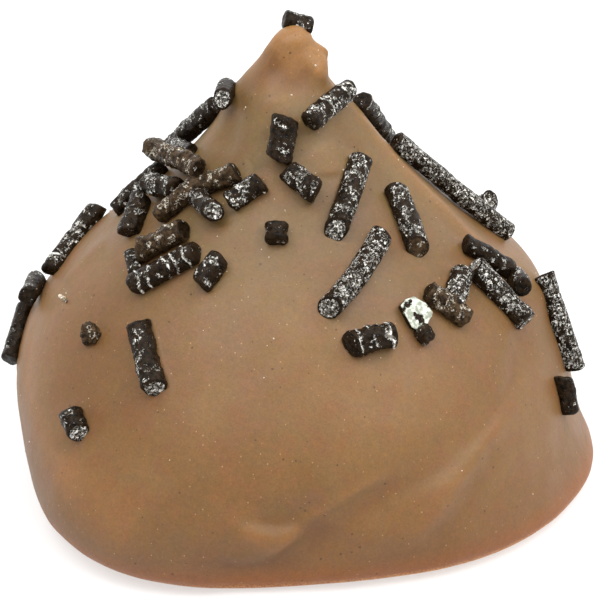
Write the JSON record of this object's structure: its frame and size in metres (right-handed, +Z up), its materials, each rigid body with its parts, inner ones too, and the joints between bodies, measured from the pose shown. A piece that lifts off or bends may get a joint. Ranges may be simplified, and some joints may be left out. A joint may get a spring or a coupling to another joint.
{
  "type": "chocolate-coated marzipan kiss",
  "caption": "Peaked marzipan sweet under set milk chocolate, with a flat underside and dark chocolate vermicelli.",
  "frame": {"origin": "middle of the flat underside, under the centre of the part's box", "axes": "+Z up through the peak, -Y the front with the drip and the skirt's crease, +X to the right as seen from the front"},
  "size_m": [0.0326, 0.0324, 0.0267],
  "materials": {
    "milk_chocolate": "satin, set milk chocolate with fine specks and pinholes",
    "dark_chocolate": "rough dark chocolate strands, dusted with pale bloom"
  },
  "bodies": {
    "root": {"coated_marzipan": "milk_chocolate"}
  },
  "joints": []
}
